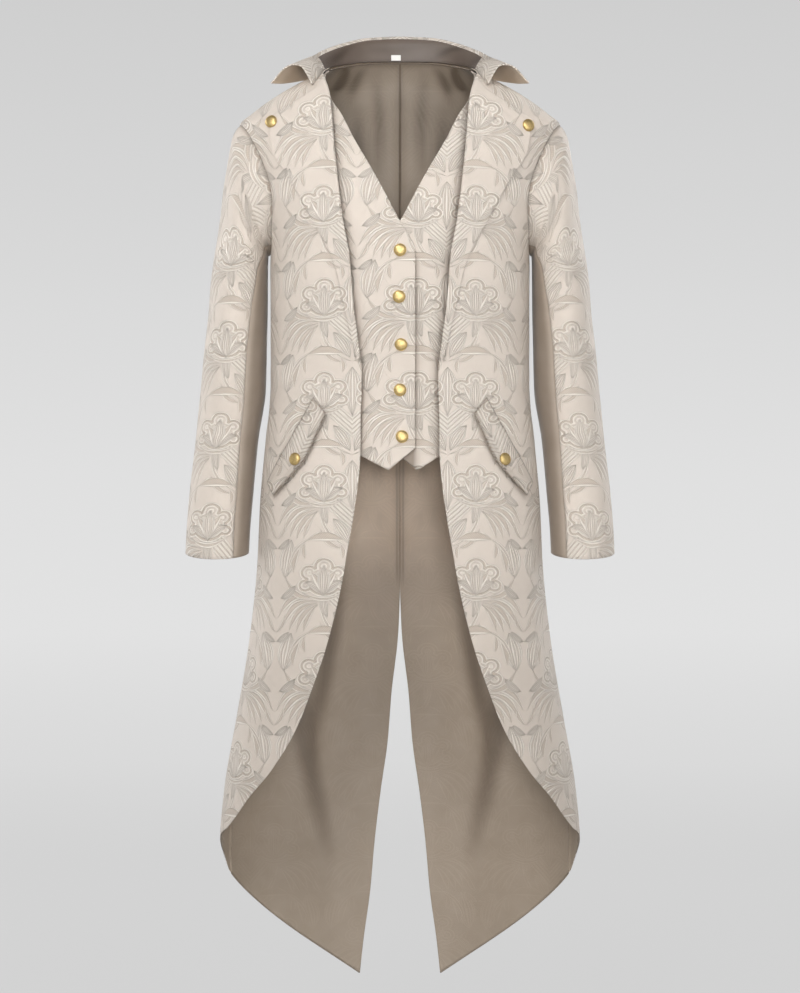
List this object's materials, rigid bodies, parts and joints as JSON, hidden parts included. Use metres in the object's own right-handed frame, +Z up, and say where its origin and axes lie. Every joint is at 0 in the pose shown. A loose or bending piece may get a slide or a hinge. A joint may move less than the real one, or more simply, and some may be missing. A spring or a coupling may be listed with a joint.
{
  "type": "tailcoat",
  "caption": "Historic costume tailcoat in the form of the body, with notched collar, wide lapels, sewn-in waistcoat front, pocket flaps and two long tails.",
  "frame": {"origin": "in the middle between the two shoulder seams, where the coat bears on the wearer's shoulders", "axes": "+Z up, -Y the coat's front, -X the wearer's right"},
  "size_m": [0.5864, 0.2537, 1.3138],
  "materials": {
    "brocade": "woven brocade with a low silky sheen",
    "satin_lining": "satin",
    "plain_satin": "satin",
    "label_tape": "plain woven tape",
    "brass": "polished"
  },
  "bodies": {
    "root": {"front_right": "brocade", "front_left": "brocade", "back_right": "brocade", "back_left": "brocade", "back_lining_right": "satin_lining", "back_lining_left": "satin_lining", "sleeve_upper_right": "brocade", "sleeve_upper_left": "brocade", "sleeve_under_right": "plain_satin", "sleeve_under_left": "plain_satin", "lapel_right": "brocade", "lapel_left": "brocade", "waistcoat_right": "brocade", "waistcoat_left": "brocade", "pocket_flap_right": "brocade", "pocket_flap_left": "brocade", "collar": "brocade", "neck_label": "label_tape", "button_shoulder_right": "brass", "button_shoulder_left": "brass", "button_pocket_right": "brass", "button_pocket_left": "brass", "button_waistcoat_1": "brass", "button_waistcoat_2": "brass", "button_waistcoat_3": "brass", "button_waistcoat_4": "brass", "button_waistcoat_5": "brass"}
  },
  "joints": []
}
